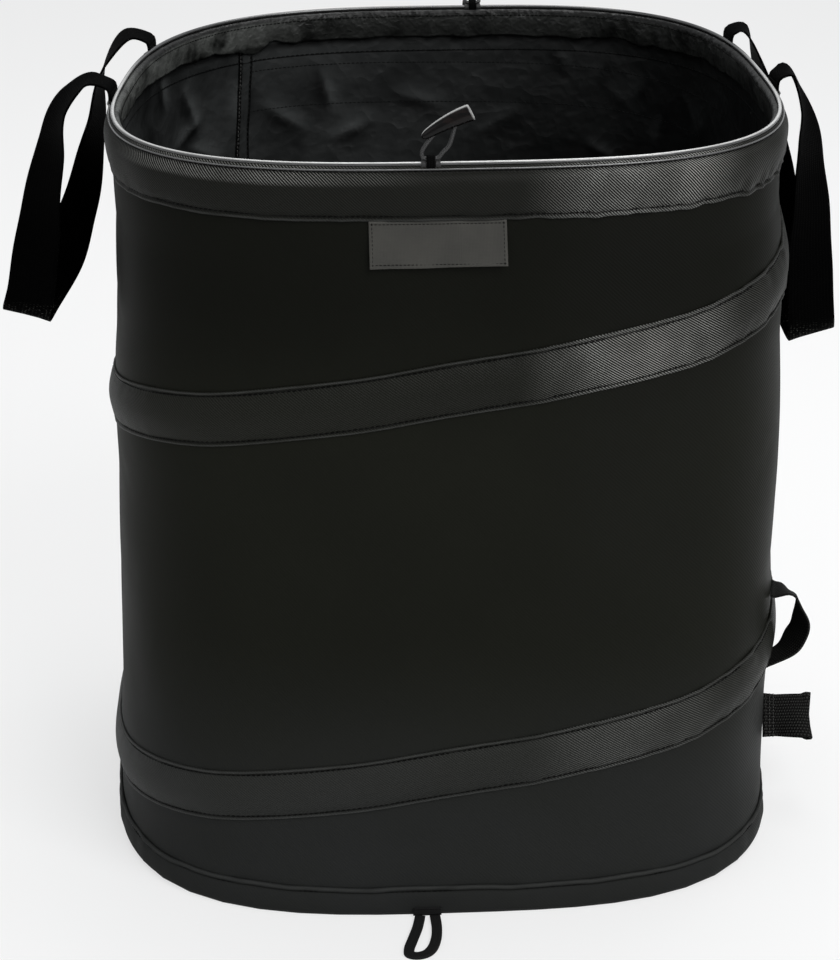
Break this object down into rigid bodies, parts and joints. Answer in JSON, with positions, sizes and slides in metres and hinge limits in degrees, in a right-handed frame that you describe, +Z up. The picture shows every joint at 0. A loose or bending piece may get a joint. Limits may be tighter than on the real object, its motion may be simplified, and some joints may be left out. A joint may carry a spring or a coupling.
{
  "type": "collapsible yard waste bin",
  "caption": "Fabric yard tub held open by a sewn-in spiral spring, with rim hoop, webbing handles, closing toggles and loops; it squashes flat.",
  "frame": {"origin": "centre of the base panel's underside, where the bin stands on the ground", "axes": "+Z up towards the mouth, -Y towards the front with the label, +X towards the right-hand handle and the side tab"},
  "size_m": [0.6838, 0.627, 0.6394],
  "materials": {
    "shell_fabric": "coated woven polyester",
    "lining": "shiny coated side of the cloth",
    "binding": "woven tape",
    "webbing": "woven webbing",
    "elastic": "knitted elastic band",
    "cord": "braided cord",
    "label_cloth": "plain woven tag",
    "panel": "stiff sheet",
    "piping": "shiny corded edge",
    "hoop_steel": "drawn wire",
    "spring_steel": "spring wire",
    "tip_plastic": "moulded tip",
    "horn": "polished"
  },
  "bodies": {
    "base": {"base_panel": "panel", "base_hem": "shell_fabric", "bottom_hoop": "hoop_steel", "bottom_hoop_ferrule": "hoop_steel", "wall_panel": "shell_fabric", "wall_seam_tape": "binding", "spiral_casing": "shell_fabric", "spiral_spring": "spring_steel", "spring_cap_lower": "tip_plastic", "spring_cap_upper": "tip_plastic", "label": "label_cloth", "side_handle": "webbing", "side_tab": "webbing", "closure_front_tab": "elastic", "closure_back_tab": "elastic"},
    "rim": {"rim_outer_band": "shell_fabric", "rim_inner_facing": "lining", "rim_piping": "piping", "top_hoop": "hoop_steel", "top_hoop_ferrule": "hoop_steel", "handle_left_front_end": "webbing", "handle_left_back_end": "webbing", "handle_right_front_end": "webbing", "handle_right_back_end": "webbing", "toggle_front_anchor": "binding", "toggle_back_anchor": "binding"},
    "handle_left": {"handle_left_strap": "webbing"},
    "handle_right": {"handle_right_strap": "webbing"},
    "toggle_front": {"toggle_front_cord": "cord", "toggle_front_horn": "horn"},
    "toggle_back": {"toggle_back_cord": "cord", "toggle_back_horn": "horn"},
    "closure_front": {"closure_front_band": "elastic"},
    "closure_back": {"closure_back_band": "elastic"}
  },
  "joints": [
    {"name": "collapse", "type": "slide", "parent": "base", "child": "rim", "axis": [0, 0, -1], "range_m": [0, 0.52], "stiffness_N_per_m": 120, "springref_m": -0.15, "deforming": ["wall_panel", "wall_seam_tape", "spiral_casing", "spiral_spring", "spring_cap_lower", "spring_cap_upper", "label", "side_handle", "side_tab"]},
    {"name": "handle_left_swing", "type": "hinge", "parent": "rim", "child": "handle_left", "pos_m": [-0.23828, 0.04532, 0.6065], "axis": [0.1786, 0.9839, 0], "range_deg": [0, 180]},
    {"name": "handle_right_swing", "type": "hinge", "parent": "rim", "child": "handle_right", "pos_m": [0.25174, 0.04519, 0.6065], "axis": [0.0882, -0.9961, 0], "range_deg": [0, 180]},
    {"name": "toggle_front_tip", "type": "hinge", "parent": "rim", "child": "toggle_front", "pos_m": [-0.02049, -0.22354, 0.6021], "axis": [1, 0, 0], "range_deg": [-50, 95]},
    {"name": "toggle_back_tip", "type": "hinge", "parent": "rim", "child": "toggle_back", "pos_m": [0.04499, 0.24351, 0.6021], "axis": [1, 0, 0], "range_deg": [0, 120]},
    {"name": "closure_front_lift", "type": "hinge", "parent": "base", "child": "closure_front", "pos_m": [-0.024, -0.25313, 0.0013], "axis": [-1, 0, 0], "range_deg": [0, 90]},
    {"name": "closure_back_lift", "type": "hinge", "parent": "base", "child": "closure_back", "pos_m": [0.024, 0.25313, 0.0013], "axis": [1, 0, 0], "range_deg": [0, 90]}
  ]
}
